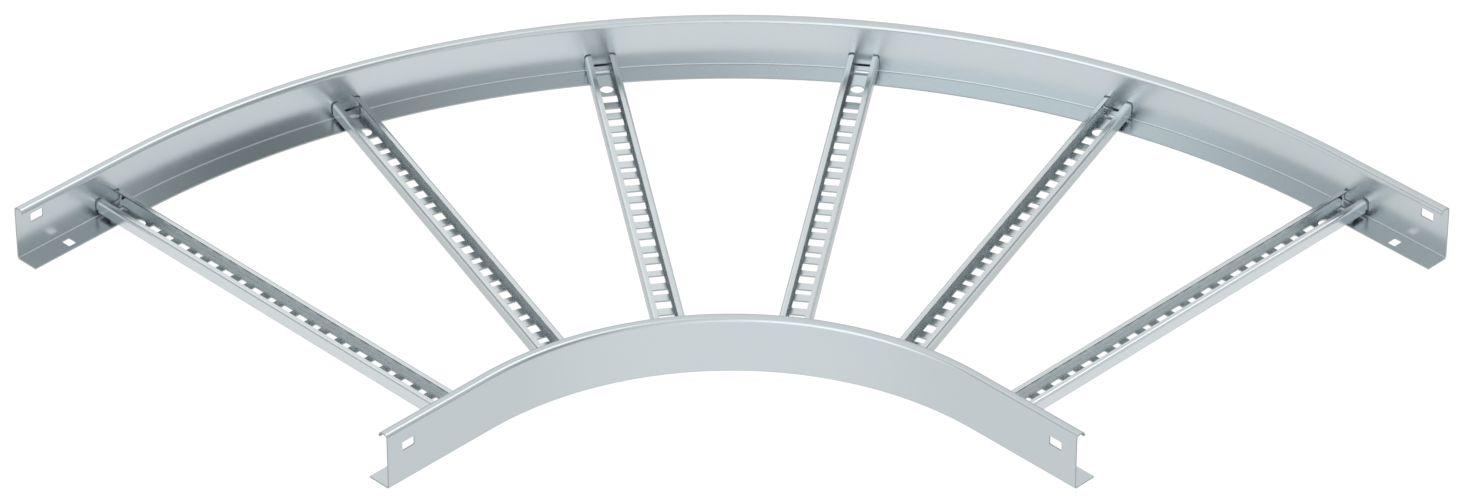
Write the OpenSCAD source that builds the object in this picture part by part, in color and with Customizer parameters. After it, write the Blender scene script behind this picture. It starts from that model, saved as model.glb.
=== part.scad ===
// Cable ladder bend: a flat quarter turn of galvanised cable ladder.
// Two bent side rails are joined by six perforated C-section rungs.
// The arc runs from +X to +Y, and a straight end leaves each side of it.

/* [Bend] */
// Radius of the inner rail's web, on its face towards the arc centre
inner_radius = 300; // [200:5:600]
// Width over the outer faces of the two webs
ladder_width = 500; // [300:10:700]
// Length of the straight end beyond the arc
straight_end = 125; // [115:1:200]

/* [Side rail] */
// Height of a side rail
rail_height = 58; // [55:1:110]
// Sheet thickness of a side rail
rail_sheet = 1.5; // [1:0.1:2]
// Inside radius of the rail's bends
rail_bend = 1.2; // [1:0.1:3]
// Width of the bottom flange, from the web's outer face
flange_width = 25; // [22:0.5:40]
// Width of the top lip, from the web's outer face
lip_width = 11.5; // [9.5:0.5:16]
// Depth of the lip's turned-down edge, from the top
lip_drop = 5.5; // [4.5:0.1:12]
// Inside radius of the bend at the lip's edge
lip_bend = 1.5; // [0.8:0.1:2]

/* [Rail end slots] */
// Length of the slot in the web, along the rail
web_slot_length = 14.5; // [8:0.5:24]
// Height of the slot in the web
web_slot_height = 9; // [5:0.5:14]
// Distance of the web slot's middle from the rail's end
web_slot_from_end = 24.5; // [16:0.5:40]
// Height of the web slot's middle above the floor
web_slot_level = 37.5; // [20:0.5:42]
// Length of the slot in the flange, along the rail
flange_slot_length = 9; // [5:0.5:14]
// Width of the slot in the flange, across the rail
flange_slot_width = 11; // [5:0.5:12]
// Distance of the flange slot's middle from the rail's end
flange_slot_from_end = 49.5; // [30:0.5:60]
// Distance of the flange slot's middle from the web's outer face
flange_slot_inset = 14.75; // [11:0.25:15]
// Corner radius of the punched slots
slot_corner = 1; // [0.4:0.1:2]

/* [Rung] */
// Width of a rung over its side walls
rung_width = 30; // [26:0.5:44]
// Height of a rung
rung_height = 13.5; // [12:0.5:25]
// Sheet thickness of a rung
rung_sheet = 1.5; // [1:0.1:2]
// Inside radius of a rung's bends
rung_bend = 1.5; // [0.8:0.1:2]
// Width of each inturned lip, from the side wall's outer face
rung_lip = 6.25; // [4.5:0.25:7]
// Clear height between the flange and the underside of a rung
rung_lift = 3.5; // [2:0.25:12]
// Gap between the end of a rung and the web
rung_end_gap = 2; // [1:0.25:5]
// Distance of an end rung's middle from where the arc ends
end_rung_offset = 15; // [12:0.5:40]

/* [Rung perforation] */
// Distance between neighbouring tie slots
slot_pitch = 20; // [16:0.5:30]
// Size across the rung of every tie slot
slot_across = 16; // [10:0.5:18]
// Size along the rung of a wide tie slot
wide_slot = 12; // [8:0.5:14]
// Size along the rung of a narrow tie slot
narrow_slot = 8; // [5:0.5:12]
// Tie slots in one group, which starts and ends with a wide one
group_slots = 5; // [3:2:7]
// Diameter of the round hole near each end of a rung
round_hole = 13; // [6:0.5:14]
// Distance of the round hole's middle from the rung's end
round_hole_from_end = 39.5; // [34:0.5:60]
// Least metal left between the round hole and the first tie slot
hole_bridge = 2.5; // [2:0.25:6]

/* [Rung tongue] */
// Distance of the tongue's middle plane from the web's outer face
tongue_inset = 12; // [10.5:0.25:14]
// Width of the tongue where it leaves the rung's floor
tongue_root = 16; // [12:0.5:16.5]
// Width of the tongue at its tip
tongue_tip = 12; // [6:0.5:12]
// Inside radius of the tongue's bend
tongue_bend = 1; // [0.6:0.1:2]
// Gap that is cut beyond the tongue's tip before it is folded down
tongue_end_gap = 2.25; // [0.5:0.25:4]
// Clearance of the tongue beside the window's sides
tongue_side_gap = 0.5; // [0.2:0.1:1]
// Clearance of the tongue in the flange's slit
tongue_fit = 0.1; // [0.05:0.05:0.4]

/* [Hidden] */
NODES = ["inner_side_rail", "outer_side_rail", "rung_1", "rung_2", "rung_3", "rung_4", "rung_5", "rung_6"];
rail_nodes = 2;
rung_count = len(NODES) - rail_nodes;
arc_fn = 360;
hole_fn = 48;
bend_fn = 64;
turn = 90;
past = 1;
zinc_rail = [0.79, 0.81, 0.83];
zinc_rung = [0.74, 0.76, 0.78];
outer_radius = inner_radius + ladder_width;
middle_radius = inner_radius + ladder_width / 2;
centre_shift = (outer_radius - straight_end) / 2;
rail_round = rail_bend + rail_sheet;
lip_round = lip_bend + rail_sheet;
rung_round = rung_bend + rung_sheet;
rung_bottom = rail_sheet + rung_lift;
floor_top = rung_bottom + rung_sheet;
rung_length = ladder_width - 2 * rail_sheet - 2 * rung_end_gap;
rung_step = turn / (rung_count - 1);
tongue_middle = ladder_width / 2 - tongue_inset;
tongue_fold = tongue_middle + rung_sheet / 2 + tongue_bend;
tongue_drop = rung_bottom - tongue_bend;
tongue_window = tongue_drop + (tongue_bend + rung_sheet / 2) * PI / 2 + tongue_end_gap;
round_hole_at = rung_length / 2 - round_hole_from_end;
slot_room = 2 * (round_hole_at - round_hole / 2 - hole_bridge) + slot_pitch - wide_slot;
slot_count = group_slots * floor(slot_room / (group_slots * slot_pitch));
slot_reach = (slot_count - 1) * slot_pitch / 2;

// Width of the tapered tongue at a height above the floor
function tongue_width(level) = tongue_tip + (tongue_root - tongue_tip) * level / tongue_drop;

// Quarter of a ring of bent sheet, in the quadrant that the signs name
module bend_section(at, round, sheet, sign_x, sign_y) {
    translate(at)
        intersection() {
            difference() {
                circle(r = round, $fn = bend_fn);
                circle(r = round - sheet, $fn = bend_fn);
            }
            translate([sign_x > 0 ? 0 : -round, sign_y > 0 ? 0 : -round]) square(round);
        }
}

// Section of a side rail: the web's outer face is at zero, the ladder lies on +X
module rail_section() {
    translate([0, rail_round]) square([rail_sheet, rail_height - 2 * rail_round]);
    bend_section([rail_round, rail_round], rail_round, rail_sheet, -1, -1);
    translate([rail_round, 0]) square([flange_width - rail_round, rail_sheet]);
    bend_section([rail_round, rail_height - rail_round], rail_round, rail_sheet, -1, 1);
    translate([rail_round, rail_height - rail_sheet])
        square([lip_width - lip_round - rail_round, rail_sheet]);
    bend_section([lip_width - lip_round, rail_height - lip_round], lip_round, rail_sheet, 1, 1);
    translate([lip_width - rail_sheet, rail_height - lip_drop])
        square([rail_sheet, lip_drop - lip_round]);
}

// Section of a rung: a C with its open side up, centred on X
module rung_section() {
    half = rung_width / 2;
    top = rung_bottom + rung_height;
    translate([rung_round - half, rung_bottom]) square([rung_width - 2 * rung_round, rung_sheet]);
    for (side = [-1, 1]) {
        bend_section([side * (half - rung_round), rung_bottom + rung_round], rung_round, rung_sheet, side, -1);
        translate([side > 0 ? half - rung_sheet : -half, rung_bottom + rung_round])
            square([rung_sheet, rung_height - 2 * rung_round]);
        bend_section([side * (half - rung_round), top - rung_round], rung_round, rung_sheet, side, 1);
        translate([side > 0 ? half - rung_lip : rung_round - half, top - rung_sheet])
            square([rung_lip - rung_round, rung_sheet]);
    }
}

// Punched opening with rounded corners, centred, running through Z
module punch(size_x, size_y, depth) {
    reach_x = size_x / 2 - slot_corner;
    reach_y = size_y / 2 - slot_corner;
    translate([0, 0, -depth / 2]) {
        linear_extrude(depth) {
            square([size_x, size_y - 2 * slot_corner], center = true);
            square([size_x - 2 * slot_corner, size_y], center = true);
            for (x = [-reach_x, reach_x], y = [-reach_y, reach_y])
                translate([x, y]) circle(r = slot_corner, $fn = hole_fn);
        }
    }
}

// Places its children, drawn along +X from the arc centre, where every rung lies
module at_rung(index) {
    if (index == 1) mirror([1, -1, 0]) translate([0, -end_rung_offset, 0]) children();
    else if (index == rung_count) translate([0, -end_rung_offset, 0]) children();
    else rotate([0, 0, turn - (index - 1) * rung_step]) children();
}

// Bent rail with its two straight ends and the slots punched in them
module side_rail(radius, inward) {
    translate([-centre_shift, -centre_shift, 0])
        difference() {
            union() {
                rotate_extrude(angle = turn, $fn = arc_fn) rail_at(radius, inward);
                straight_leg(radius, inward);
                mirror([1, -1, 0]) straight_leg(radius, inward);
            }
            end_slots(radius, inward);
            mirror([1, -1, 0]) end_slots(radius, inward);
            for (index = [1 : rung_count]) at_rung(index) tongue_slit(radius, inward);
        }
}

module rail_at(radius, inward) {
    translate([radius, 0]) mirror([inward > 0 ? 0 : 1, 0]) rail_section();
}

module straight_leg(radius, inward) {
    rotate([90, 0, 0]) linear_extrude(straight_end) rail_at(radius, inward);
}

module end_slots(radius, inward) {
    translate([radius + inward * rail_sheet / 2, web_slot_from_end - straight_end, web_slot_level])
        rotate([0, 90, 0]) punch(web_slot_height, web_slot_length, rail_sheet + 2 * past);
    translate([radius + inward * flange_slot_inset, flange_slot_from_end - straight_end, rail_sheet / 2])
        punch(flange_slot_width, flange_slot_length, rail_sheet + 2 * past);
}

// Slit in the flange that the rung's tongue is driven into
module tongue_slit(radius, inward) {
    thick = rung_sheet + 2 * tongue_fit;
    wide = tongue_width(rail_sheet) + 2 * tongue_fit;
    translate([radius + inward * tongue_inset - thick / 2, -wide / 2, -past])
        cube([thick, wide, rail_sheet + 2 * past]);
}

// Rung along +X, with its middle at the ladder's middle radius
module rung(index) {
    translate([-centre_shift, -centre_shift, 0])
        at_rung(index) translate([middle_radius, 0, 0]) {
            difference() {
                rotate([90, 0, 90])
                    translate([0, 0, -rung_length / 2]) linear_extrude(rung_length) rung_section();
                translate([0, 0, floor_top]) perforation();
                for (end = [-1, 1]) translate([end * tongue_fold, 0, floor_top]) window(end);
            }
            for (end = [0, 1]) mirror([end, 0, 0]) tongue();
        }
}

// Groups of wide and narrow tie slots, with a round hole beyond them at each end
module perforation() {
    for (i = [0 : slot_count - 1])
        translate([i * slot_pitch - slot_reach, 0, 0])
            punch((i % group_slots) % 2 == 0 ? wide_slot : narrow_slot, slot_across, 2 * rung_sheet + past);
    for (end = [-1, 1])
        translate([end * round_hole_at, 0, -rung_sheet - past])
            cylinder(d = round_hole, h = rung_sheet + 2 * past, $fn = hole_fn);
}

module window(end) {
    translate([-end * tongue_window / 2, 0, 0])
        cube([tongue_window, tongue_root + 2 * tongue_side_gap, 2 * rung_sheet + past], center = true);
}

// Tapered tongue, folded down out of the floor and through the flange
module tongue() {
    round = tongue_bend + rung_sheet;
    rotate([90, 0, 0])
        translate([0, 0, -tongue_root / 2]) linear_extrude(tongue_root)
            bend_section([tongue_fold, tongue_drop], round, rung_sheet, -1, 1);
    translate([tongue_fold - round, 0, 0])
        rotate([90, 0, 90]) linear_extrude(rung_sheet)
            polygon([[-tongue_tip / 2, 0], [tongue_tip / 2, 0],
                     [tongue_root / 2, tongue_drop], [-tongue_root / 2, tongue_drop]]);
}

module inner_side_rail() { color(zinc_rail) side_rail(inner_radius, 1); }
module outer_side_rail() { color(zinc_rail) side_rail(outer_radius, -1); }
module rung_1() { color(zinc_rung) rung(1); }
module rung_2() { color(zinc_rung) rung(2); }
module rung_3() { color(zinc_rung) rung(3); }
module rung_4() { color(zinc_rung) rung(4); }
module rung_5() { color(zinc_rung) rung(5); }
module rung_6() { color(zinc_rung) rung(6); }

inner_side_rail();
outer_side_rail();
rung_1();
rung_2();
rung_3();
rung_4();
rung_5();
rung_6();
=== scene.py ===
import math

import bmesh
import bpy
from mathutils import Matrix, Vector


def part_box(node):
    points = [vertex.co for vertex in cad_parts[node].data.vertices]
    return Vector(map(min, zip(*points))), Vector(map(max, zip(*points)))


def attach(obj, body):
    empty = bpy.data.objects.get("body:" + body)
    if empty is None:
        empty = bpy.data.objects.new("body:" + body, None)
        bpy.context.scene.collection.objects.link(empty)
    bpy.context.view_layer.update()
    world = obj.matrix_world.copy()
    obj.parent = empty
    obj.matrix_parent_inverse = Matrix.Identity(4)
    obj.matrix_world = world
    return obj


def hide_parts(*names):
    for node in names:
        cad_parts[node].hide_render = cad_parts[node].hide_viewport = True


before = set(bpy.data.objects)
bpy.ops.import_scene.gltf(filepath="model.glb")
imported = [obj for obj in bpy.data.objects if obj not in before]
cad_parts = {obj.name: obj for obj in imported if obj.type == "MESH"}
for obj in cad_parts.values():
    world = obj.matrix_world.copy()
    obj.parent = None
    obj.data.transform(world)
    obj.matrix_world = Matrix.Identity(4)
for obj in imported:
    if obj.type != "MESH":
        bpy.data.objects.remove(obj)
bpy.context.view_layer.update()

# Side rails
# Each rail is one strip of galvanised steel sheet, roll-formed to a bottom flange, a web and a rolled top
# lip, then curved through a quarter turn between two straight ends. Flanges and lips face into the ladder.
# Square slots for the splice bolts are punched near the ends, and slits for the rungs along the flange.
straight_end = 0.125
rail_sheet = 0.0015
flange_bend = 0.0012
top_bend = 0.0025
lip_bend = 0.0030
flange_width = 0.025
lip_width = 0.0115
lip_drop = 0.0055
punch_depth = 0.006
slot_corner = 0.001
web_slot_length = 0.0145
web_slot_height = 0.009
web_slot_from_end = 0.0245
web_slot_level = 0.0375
flange_slot_length = 0.009
flange_slot_width = 0.011
flange_slot_from_end = 0.0495
flange_slot_inset = 0.01475
tongue_inset = 0.012
slit_width = 0.0017
slit_length = 0.0137
slit_corner = 0.0002
end_rung_offset = 0.015
arc_rungs = 4
right_angle = math.radians(90)
rung_step = right_angle / (arc_rungs + 1)

arc_steps = 120
broken_edge = 0.00015
broken_edge_steps = 2
sharp_from = math.radians(40)
one_bend_within = math.radians(50)
sliver = 0.000005

rail_tone = (0.562, 0.613, 0.634)
rail_roughness = 0.26
tone_spread = 0.010
roughness_spread = 0.015
patches_per_metre = (9.0, 14.0)
rolling_lines_per_metre = (4.0, 420.0)
grains_per_metre = (900.0, 900.0)
crystals_per_metre = (240.0, 240.0)
rolling_share = 0.35
crystal_share = 0.4
fine_share = 0.4
mottle_reach = (0.3, 0.7)
relief_strength = 0.006
relief_depth = 0.0002
cut_dark = (0.35, 0.38, 0.39)
cut_light = (0.41, 0.44, 0.45)
cut_roughness = 0.40
tears_per_metre = (2400.0, 2400.0, 300.0)
tear_reach = (0.35, 0.65)

outer_low, outer_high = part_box("outer_side_rail")
inner_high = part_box("inner_side_rail")[1]
rail_height = outer_high.z
arc_centre = Vector((outer_low.x + straight_end, outer_low.y + straight_end, 0.0))
outer_radius = outer_high.x - arc_centre.x
inner_radius = inner_high.x - arc_centre.x - flange_width
flange_round = flange_bend + rail_sheet
top_round = top_bend + rail_sheet
lip_round = lip_bend + rail_sheet
to_arc_centre = Matrix.Translation(arc_centre)
swap_legs = Matrix(((0, 1, 0, 0), (1, 0, 0, 0), (0, 0, 1, 0), (0, 0, 0, 1)))


def sheet_outline(start, heading, walk, sheet, bend_steps=12):
    """Outline of a bent strip. The walk lists straight runs of its middle, each with the bend after it."""
    at = Vector(start)
    ahead = Vector(heading)
    middle = [(at.copy(), Vector((-ahead.y, ahead.x)))]
    for run, turn, inside in walk:
        at = at + ahead * run
        aside = Vector((-ahead.y, ahead.x))
        middle.append((at.copy(), aside.copy()))
        if turn == 0:
            continue
        hub = at + aside * math.copysign(inside + sheet / 2, turn)
        for step in range(1, bend_steps + 1):
            turned = Matrix.Rotation(turn * step / bend_steps, 2)
            middle.append((hub + turned @ (at - hub), turned @ aside))
        at, aside = middle[-1]
        ahead = Vector((aside.y, -aside.x))
    left = [point + aside * sheet / 2 for point, aside in middle]
    right = [point - aside * sheet / 2 for point, aside in middle]
    return left + right[::-1]


def skinned(mesh, rings, lengths):
    """Adds a strip to a mesh, skinned over rings of points, with the flat strip laid out as a UV map.

    The two narrow sides of the strip and its two ends are sheared edges, and take the second material.
    """
    flat_strip = mesh.loops.layers.uv.get("Strip") or mesh.loops.layers.uv.new("Strip")
    count = len(rings[0])
    across = [0.0]
    for j in range(count):
        across.append(across[-1] + (rings[0][(j + 1) % count] - rings[0][j]).length)
    rows = [[mesh.verts.new(point) for point in ring] for ring in rings]
    for i in range(len(rows) - 1):
        for j in range(count):
            k = (j + 1) % count
            face = mesh.faces.new((rows[i][j], rows[i][k], rows[i + 1][k], rows[i + 1][j]))
            face.material_index = 1 if k % (count // 2) == 0 else 0
            corners = ((i, j), (i, j + 1), (i + 1, j + 1), (i + 1, j))
            for loop, (a, b) in zip(face.loops, corners):
                loop[flat_strip].uv = (lengths[a], across[b])
    for end in (rows[0][::-1], rows[-1]):
        mesh.faces.new(end).material_index = 1


def punch(mesh, place, size_x, size_y, corner, corner_steps=4):
    """Adds a round-cornered punch to a mesh of cutters. It runs through its place along local Z."""
    points = []
    for quarter, (sx, sy) in enumerate(((1, 1), (-1, 1), (-1, -1), (1, -1))):
        hub = Vector((sx * (size_x / 2 - corner), sy * (size_y / 2 - corner)))
        for step in range(corner_steps + 1):
            turn = right_angle * (quarter + step / corner_steps)
            points.append(hub + corner * Vector((math.cos(turn), math.sin(turn))))
    low = [mesh.verts.new(place @ Vector((p.x, p.y, -punch_depth / 2))) for p in points]
    high = [mesh.verts.new(place @ Vector((p.x, p.y, punch_depth / 2))) for p in points]
    mesh.faces.new(low[::-1])
    mesh.faces.new(high)
    for j in range(len(points)):
        k = (j + 1) % len(points)
        mesh.faces.new((low[j], low[k], high[k], high[j]))


def object_of(name, mesh, *finishes):
    """Turns an edited mesh into a scene object with the given materials."""
    bmesh.ops.recalc_face_normals(mesh, faces=mesh.faces)
    data = bpy.data.meshes.new(name)
    mesh.to_mesh(data)
    mesh.free()
    for finish in finishes:
        data.materials.append(finish)
    piece = bpy.data.objects.new(name, data)
    bpy.context.scene.collection.objects.link(piece)
    return piece


def worked(piece, change):
    """Puts the result of a modifier into the piece's own mesh, without the slivers it leaves."""
    bpy.context.view_layer.update()
    seen = piece.evaluated_get(bpy.context.evaluated_depsgraph_get())
    piece.data = bpy.data.meshes.new_from_object(seen)
    piece.modifiers.remove(change)
    mesh = bmesh.new()
    mesh.from_mesh(piece.data)
    bmesh.ops.remove_doubles(mesh, verts=mesh.verts, dist=sliver)
    bmesh.ops.dissolve_degenerate(mesh, dist=sliver, edges=mesh.edges)
    mesh.to_mesh(piece.data)
    mesh.free()


def combined(piece, tool, operation):
    """Cuts a tool out of a piece or joins it on. The new faces keep the tool's material."""
    change = piece.modifiers.new(operation.lower(), "BOOLEAN")
    change.operation = operation
    change.solver = "EXACT"
    change.material_mode = "TRANSFER"
    change.object = tool
    worked(piece, change)
    bpy.data.objects.remove(tool)


def edges_broken(piece):
    """Takes the sharpness off the sheared edges."""
    change = piece.modifiers.new("broken edges", "BEVEL")
    change.width = broken_edge
    change.segments = broken_edge_steps
    change.limit_method = "ANGLE"
    change.angle_limit = sharp_from
    change.miter_outer = "MITER_ARC"
    worked(piece, change)


def flats_and_bends(data):
    """Shades flats flat and bends round.

    Each corner of a face takes the mean normal, by area, of the faces there that it runs on into.
    """
    runs_on = math.cos(one_bend_within)
    around = [[] for vertex in data.vertices]
    for face in data.polygons:
        face.use_smooth = True
        for vertex in face.vertices:
            around[vertex].append((face.normal.copy(), face.area))
    normals = []
    for face in data.polygons:
        for vertex in face.vertices:
            total = Vector()
            for normal, area in around[vertex]:
                if normal.dot(face.normal) > runs_on:
                    total = total + normal * area
            normals.append(total.normalized())
    data.normals_split_custom_set(normals)


def bare_metal(name):
    """Starts a metal's material. Gives the material and its shader."""
    material = bpy.data.materials.new(name)
    material.use_nodes = True
    metal = material.node_tree.nodes["Principled BSDF"]
    metal.inputs["Metallic"].default_value = 1.0
    return material, metal


def toned(material, metal, pattern, reach, dark, light):
    """Colours a metal from a dark tone to a light one over the reach of a pattern."""
    links = material.node_tree.links
    tones = material.node_tree.nodes.new("ShaderNodeValToRGB")
    for end, position, tone in zip(tones.color_ramp.elements, reach, (dark, light)):
        end.position = position
        end.color = (*tone, 1.0)
    links.new(pattern, tones.inputs["Fac"])
    links.new(tones.outputs["Color"], metal.inputs["Base Color"])


def zinc(name, tone, roughness):
    """Galvanised finish: satin zinc with fine spangle, faint rolling lines and duller patches."""
    material, metal = bare_metal(name)
    nodes = material.node_tree.nodes
    links = material.node_tree.links
    strip = nodes.new("ShaderNodeUVMap")
    strip.uv_map = "Strip"

    def on_strip(texture, output, along, across):
        """Lays a pattern on the flat strip, with so many marks to the metre along it and across it."""
        laid = nodes.new("ShaderNodeMapping")
        laid.inputs["Scale"].default_value = (along, across, 1.0)
        links.new(strip.outputs["UV"], laid.inputs["Vector"])
        pattern = nodes.new(texture)
        pattern.inputs["Scale"].default_value = 1.0
        links.new(laid.outputs["Vector"], pattern.inputs["Vector"])
        return pattern.outputs[output]

    def mixed(first, second, share):
        """Mixes two patterns, with the given share of the second."""
        blend = nodes.new("ShaderNodeMix")
        blend.inputs["Factor"].default_value = share
        links.new(first, blend.inputs["A"])
        links.new(second, blend.inputs["B"])
        return blend.outputs["Result"]

    patches = on_strip("ShaderNodeTexNoise", "Fac", *patches_per_metre)
    rolling = on_strip("ShaderNodeTexNoise", "Fac", *rolling_lines_per_metre)
    skin = on_strip("ShaderNodeTexNoise", "Fac", *grains_per_metre)
    crystals = on_strip("ShaderNodeTexVoronoi", "Color", *crystals_per_metre)
    crystal = nodes.new("ShaderNodeSeparateColor")
    links.new(crystals, crystal.inputs["Color"])
    broad = mixed(patches, rolling, rolling_share)
    fine = mixed(skin, crystal.outputs["Red"], crystal_share)
    mottle = mixed(broad, fine, fine_share)
    dark = [c * (1 - tone_spread) for c in tone]
    light = [c * (1 + tone_spread) for c in tone]
    toned(material, metal, mottle, mottle_reach, dark, light)
    satin = nodes.new("ShaderNodeMapRange")
    satin.inputs["From Min"].default_value = mottle_reach[0]
    satin.inputs["From Max"].default_value = mottle_reach[1]
    satin.inputs["To Min"].default_value = roughness - roughness_spread
    satin.inputs["To Max"].default_value = roughness + roughness_spread
    links.new(mottle, satin.inputs["Value"])
    links.new(satin.outputs["Result"], metal.inputs["Roughness"])
    relief = nodes.new("ShaderNodeBump")
    relief.inputs["Strength"].default_value = relief_strength
    relief.inputs["Distance"].default_value = relief_depth
    links.new(skin, relief.inputs["Height"])
    links.new(relief.outputs["Normal"], metal.inputs["Normal"])
    return material


def sheared_steel(name):
    """Cut face of the sheet: bare dull steel, torn in fine lines through its thickness."""
    material, metal = bare_metal(name)
    nodes = material.node_tree.nodes
    links = material.node_tree.links
    metal.inputs["Roughness"].default_value = cut_roughness
    where = nodes.new("ShaderNodeTexCoord")
    laid = nodes.new("ShaderNodeMapping")
    laid.inputs["Scale"].default_value = tears_per_metre
    links.new(where.outputs["Object"], laid.inputs["Vector"])
    tears = nodes.new("ShaderNodeTexNoise")
    tears.inputs["Scale"].default_value = 1.0
    links.new(laid.outputs["Vector"], tears.inputs["Vector"])
    toned(material, metal, tears.outputs["Fac"], tear_reach, cut_dark, cut_light)
    return material


def rail_rings(outline, web_radius, inward):
    """Carries a rail's section from its left end round to its right end. Gives the length run to each."""
    turns = [right_angle * (1 - i / arc_steps) for i in range(arc_steps + 1)]
    places = [(right_angle, straight_end)] + [(turn, 0.0) for turn in turns] + [(0.0, -straight_end)]
    rings = []
    lengths = []
    for turn, leg in places:
        outward = Vector((math.cos(turn), math.sin(turn), 0.0))
        along = Vector((-math.sin(turn), math.cos(turn), 0.0))
        web = arc_centre + outward * web_radius + along * leg
        rings.append([web + outward * inward * p.x + Vector((0.0, 0.0, p.y)) for p in outline])
        lengths.append((right_angle - turn) * web_radius + straight_end - leg)
    return rings, lengths


def side_rail(name, web_radius, inward):
    """Makes a rail from its rolled section, punches its slots and puts it in the place of its solid."""
    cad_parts[name].name = name + "_solid"
    outline = sheet_outline((flange_width, rail_sheet / 2), (-1, 0), (
        (flange_width - flange_round, -right_angle, flange_bend),
        (rail_height - flange_round - top_round, -right_angle, top_bend),
        (lip_width - top_round - lip_round, -right_angle, lip_bend),
        (lip_drop - lip_round, 0, 0)), rail_sheet)
    strip = bmesh.new()
    skinned(strip, *rail_rings(outline, web_radius, inward))
    piece = object_of(name, strip, rail_zinc, cut_steel)
    cutters = bmesh.new()
    web_x = web_radius + inward * rail_sheet / 2
    flange_x = web_radius + inward * flange_slot_inset
    slit_x = web_radius + inward * tongue_inset
    on_edge = Matrix.Rotation(right_angle, 4, "Y")
    in_web = Matrix.Translation((web_x, web_slot_from_end - straight_end, web_slot_level)) @ on_edge
    in_flange = Matrix.Translation((flange_x, flange_slot_from_end - straight_end, rail_sheet / 2))
    end_slit = Matrix.Translation((slit_x, -end_rung_offset, rail_sheet / 2))
    arc_slit = Matrix.Translation((slit_x, 0.0, rail_sheet / 2))
    slits = []
    for i in range(1, arc_rungs + 1):
        slits.append(to_arc_centre @ Matrix.Rotation(i * rung_step, 4, "Z") @ arc_slit)
    for leg in (to_arc_centre, to_arc_centre @ swap_legs):
        punch(cutters, leg @ in_web, web_slot_height, web_slot_length, slot_corner)
        punch(cutters, leg @ in_flange, flange_slot_width, flange_slot_length, slot_corner)
        slits.append(leg @ end_slit)
    for place in slits:
        punch(cutters, place, slit_width, slit_length, slit_corner, corner_steps=1)
    combined(piece, object_of(name + "_punches", cutters, cut_steel), "DIFFERENCE")
    edges_broken(piece)
    flats_and_bends(piece.data)
    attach(piece, "root")
    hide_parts(name)


rail_zinc = zinc("zinc_of_the_rails", rail_tone, rail_roughness)
cut_steel = sheared_steel("sheared_steel")
side_rail("inner_side_rail", inner_radius, 1)
side_rail("outer_side_rail", outer_radius, -1)

# Rungs
# Six like rungs are roll-formed to a C, open side up, from the same galvanised sheet. The floor is punched
# with groups of square slots for cable ties and a round hole near each end. At each end a tapered tongue is
# folded down out of a window in the floor and driven through a slit in the rail's flange.
rung_width = 0.030
rung_height = 0.0135
rung_sheet = 0.0015
rung_floor_bend = 0.0006
rung_lip_bend = 0.0015
rung_lip = 0.00625
rung_bottom = 0.005
rung_end_gap = 0.002
slot_pitch = 0.020
slot_across = 0.016
wide_slot = 0.012
narrow_slot = 0.008
group_slots = 5
slot_count = 20
round_hole = 0.013
round_hole_flat = 0.000001
round_hole_from_end = 0.0395
tongue_root = 0.016
tongue_tip = 0.012
tongue_bend = 0.001
tongue_overlap = 0.0005
tongue_side_gap = 0.0005
tongue_end_gap = 0.00225
window_corner = 0.00025
rung_tone = (0.665, 0.712, 0.726)
rung_roughness = 0.22

ladder_width = outer_radius - inner_radius
middle_radius = inner_radius + ladder_width / 2
rung_length = ladder_width - 2 * (rail_sheet + rung_end_gap)
rung_floor_level = rung_bottom + rung_sheet / 2
rung_floor_round = rung_floor_bend + rung_sheet
rung_lip_round = rung_lip_bend + rung_sheet
rung_wall = rung_height - rung_floor_round - rung_lip_round
tongue_fold = ladder_width / 2 - tongue_inset + rung_sheet / 2 + tongue_bend
tongue_drop = rung_bottom - tongue_bend
tongue_window = tongue_drop + (tongue_bend + rung_sheet / 2) * right_angle + tongue_end_gap


def tongue(mesh, side):
    """Adds one tapered tongue to a mesh. It starts in the floor and is folded down through the flange."""
    outline = sheet_outline((tongue_fold + tongue_overlap, rung_floor_level), (-1, 0), (
        (tongue_overlap, right_angle, tongue_bend), (tongue_drop, 0, 0)), rung_sheet)
    rings = []
    for edge in (-0.5, 0.5):
        ring = []
        for p in outline:
            root_share = min(max(p.y / tongue_drop, 0.0), 1.0)
            width = tongue_tip + (tongue_root - tongue_tip) * root_share
            ring.append(Vector((side * p.x, edge * width, p.y)))
        rings.append(ring)
    skinned(mesh, rings, [0.0, tongue_root])


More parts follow.
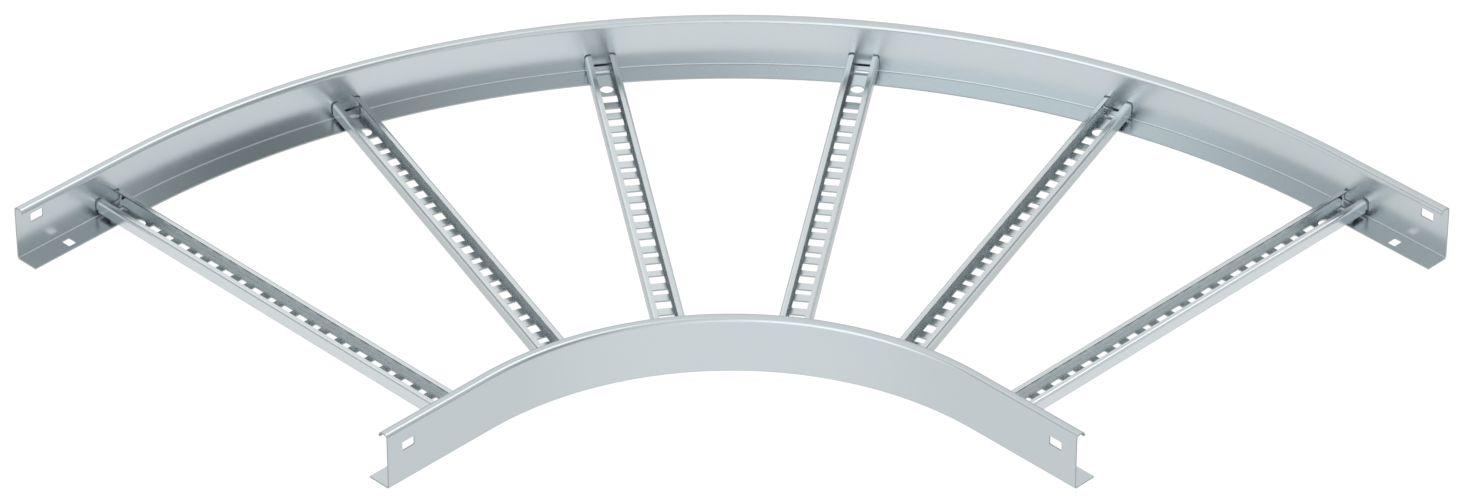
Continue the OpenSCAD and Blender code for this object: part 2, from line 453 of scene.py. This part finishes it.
def rung_pattern():
    """Makes the one rung that all six are copies of, along X and centred on the ladder's middle."""
    outline = sheet_outline(
        (rung_lip - rung_width / 2, rung_bottom + rung_height - rung_sheet / 2), (-1, 0), (
            (rung_lip - rung_lip_round, right_angle, rung_lip_bend),
            (rung_wall, right_angle, rung_floor_bend),
            (rung_width - 2 * rung_floor_round, right_angle, rung_floor_bend),
            (rung_wall, right_angle, rung_lip_bend),
            (rung_lip - rung_lip_round, 0, 0)), rung_sheet)
    strip = bmesh.new()
    rings = [[Vector((end * rung_length, p.x, p.y)) for p in outline] for end in (-0.5, 0.5)]
    skinned(strip, rings, [0.0, rung_length])
    piece = object_of("rung_pattern", strip, rung_zinc, cut_steel)
    cutters = bmesh.new()
    tongues = bmesh.new()
    for i in range(slot_count):
        place = Matrix.Translation(((i - (slot_count - 1) / 2) * slot_pitch, 0.0, rung_floor_level))
        length = wide_slot if (i % group_slots) % 2 == 0 else narrow_slot
        punch(cutters, place, length, slot_across, slot_corner)
    for side in (-1, 1):
        place = Matrix.Translation((side * (rung_length / 2 - round_hole_from_end), 0.0, rung_floor_level))
        punch(cutters, place, round_hole, round_hole, round_hole / 2 - round_hole_flat, corner_steps=12)
        place = Matrix.Translation((side * (tongue_fold - tongue_window / 2), 0.0, rung_floor_level))
        window_width = tongue_root + 2 * tongue_side_gap
        punch(cutters, place, tongue_window, window_width, window_corner, corner_steps=1)
        tongue(tongues, side)
    combined(piece, object_of("rung_punches", cutters, cut_steel), "DIFFERENCE")
    combined(piece, object_of("rung_tongues", tongues, rung_zinc, cut_steel), "UNION")
    edges_broken(piece)
    return piece


rung_zinc = zinc("zinc_of_the_rungs", rung_tone, rung_roughness)
pattern = rung_pattern()
along_x = Matrix.Translation((middle_radius, 0.0, 0.0))
off_left = Matrix.Translation((0.0, end_rung_offset, 0.0))
off_right = Matrix.Translation((0.0, -end_rung_offset, 0.0))
rung_places = [Matrix.Rotation(right_angle, 4, "Z") @ off_left @ along_x]
for i in range(arc_rungs, 0, -1):
    rung_places.append(Matrix.Rotation(i * rung_step, 4, "Z") @ along_x)
rung_places.append(off_right @ along_x)
for number, place in enumerate(rung_places, 1):
    node = f"rung_{number}"
    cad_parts[node].name = node + "_solid"
    rung = bpy.data.objects.new(node, pattern.data.copy())
    bpy.context.scene.collection.objects.link(rung)
    rung.data.transform(to_arc_centre @ place)
    flats_and_bends(rung.data)
    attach(rung, "root")
    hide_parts(node)
bpy.data.objects.remove(pattern)

# Studio
# The bend lies on a plain pale floor in a white room, lit by soft panels brighter or dimmer than the room.
# The camera looks down on the hollow of the curve, from the side where the two straight ends are.
floor_half = 60.0
floor_drop = 0.0002
floor_grey = 0.1
floor_roughness = 0.9
floor_glow = 0.95
viewer_side = math.radians(225)
room_light = 0.97
darkest = 0.05
# Of each panel: its name, the light that it adds, its turn to the right of the viewer's side, its rise, and
# the half width of its even part and of the whole, with all angles in degrees.
panels = (
    ("soft box behind on the right", 1.2, 138, 59, 6, 20),
    ("panel behind on the left", 0.25, -150, 38, 10, 28),
    ("dim wall behind", -0.07, 180, 35, 15, 45),
    ("dark corner on the right", -0.58, 60, 42, 6, 22),
    ("dark corner low on the right", -0.42, 66, 13, 8, 26),
    ("dark wall on the right", -0.60, 124, 33, 10, 27),
    ("dark wall on the left", -0.60, -120, 34, 10, 28),
    ("panel on the viewer's left", 0.7, -35, 31, 14, 34),
    ("panel behind the viewer", 0.32, 0, 12, 8, 26),
    ("bright floor in front", 0.10, 0, -40, 20, 60),
    ("dim floor behind", -0.26, 180, -36, 40, 62),
)
eye_back = 5.1130
eye_aside = 0.0011
eye_height = 3.9068
eye_tilt = math.radians(55.102)
eye_turn = math.radians(-44.994)
film_width_mm = 36.0
focal_length_mm = 183.03
sight = 200.0

scene = bpy.context.scene
scene.view_settings.view_transform = "Standard"

pale = bpy.data.materials.new("pale_floor")
pale.use_nodes = True
paint = pale.node_tree.nodes["Principled BSDF"]
paint.inputs["Base Color"].default_value = (floor_grey, floor_grey, floor_grey, 1.0)
paint.inputs["Roughness"].default_value = floor_roughness
paint.inputs["Specular IOR Level"].default_value = 0.0
paint.inputs["Emission Color"].default_value = (1.0, 1.0, 1.0, 1.0)
paint.inputs["Emission Strength"].default_value = floor_glow
floor_mesh = bmesh.new()
bmesh.ops.create_grid(floor_mesh, x_segments=1, y_segments=1, size=floor_half)
floor = object_of("floor", floor_mesh, pale)
floor.location.z = -floor_drop
floor.visible_glossy = False

world = bpy.data.worlds.new("white_room")
scene.world = world
world.use_nodes = True
room_nodes = world.node_tree.nodes
room_links = world.node_tree.links
backdrop = room_nodes["Background"]
look = room_nodes.new("ShaderNodeTexCoord").outputs["Generated"]


def room_step(operation, *terms):
    """Works out one step of the room's light. A term is a number or what another step gives."""
    step = room_nodes.new("ShaderNodeMath")
    step.operation = operation
    for socket, term in zip(step.inputs, terms):
        if isinstance(term, bpy.types.NodeSocket):
            room_links.new(term, socket)
        else:
            socket.default_value = term
    return step.outputs["Value"]


light = room_light
for name, strength, turn, rise, even, whole in panels:
    azimuth = viewer_side + math.radians(turn)
    level = math.cos(math.radians(rise))
    height = math.sin(math.radians(rise))
    middle = room_nodes.new("ShaderNodeVectorMath")
    middle.operation = "DOT_PRODUCT"
    middle.label = name
    middle.inputs[1].default_value = (level * math.cos(azimuth), level * math.sin(azimuth), height)
    room_links.new(look, middle.inputs[0])
    panel = room_nodes.new("ShaderNodeMapRange")
    panel.interpolation_type = "SMOOTHSTEP"
    panel.inputs["From Min"].default_value = math.cos(math.radians(whole))
    panel.inputs["From Max"].default_value = math.cos(math.radians(even))
    panel.inputs["To Max"].default_value = strength
    room_links.new(middle.outputs["Value"], panel.inputs["Value"])
    light = room_step("ADD", light, panel.outputs["Result"])
light = room_step("MAXIMUM", light, darkest)
backdrop.inputs["Color"].default_value = (1.0, 1.0, 1.0, 1.0)
room_links.new(light, backdrop.inputs["Strength"])

view_ahead = Vector((1.0, 1.0, 0.0)).normalized()
view_right = Vector((1.0, -1.0, 0.0)).normalized()
eye_level = Vector((0.0, 0.0, eye_height))
camera_data = bpy.data.cameras.new("camera")
camera_data.sensor_width = film_width_mm
camera_data.lens = focal_length_mm
camera_data.clip_end = sight
camera = bpy.data.objects.new("camera", camera_data)
camera.location = arc_centre + view_right * eye_aside - view_ahead * eye_back + eye_level
camera.rotation_euler = (eye_tilt, 0.0, eye_turn)
scene.collection.objects.link(camera)
scene.camera = camera

bpy.context.view_layer.update()
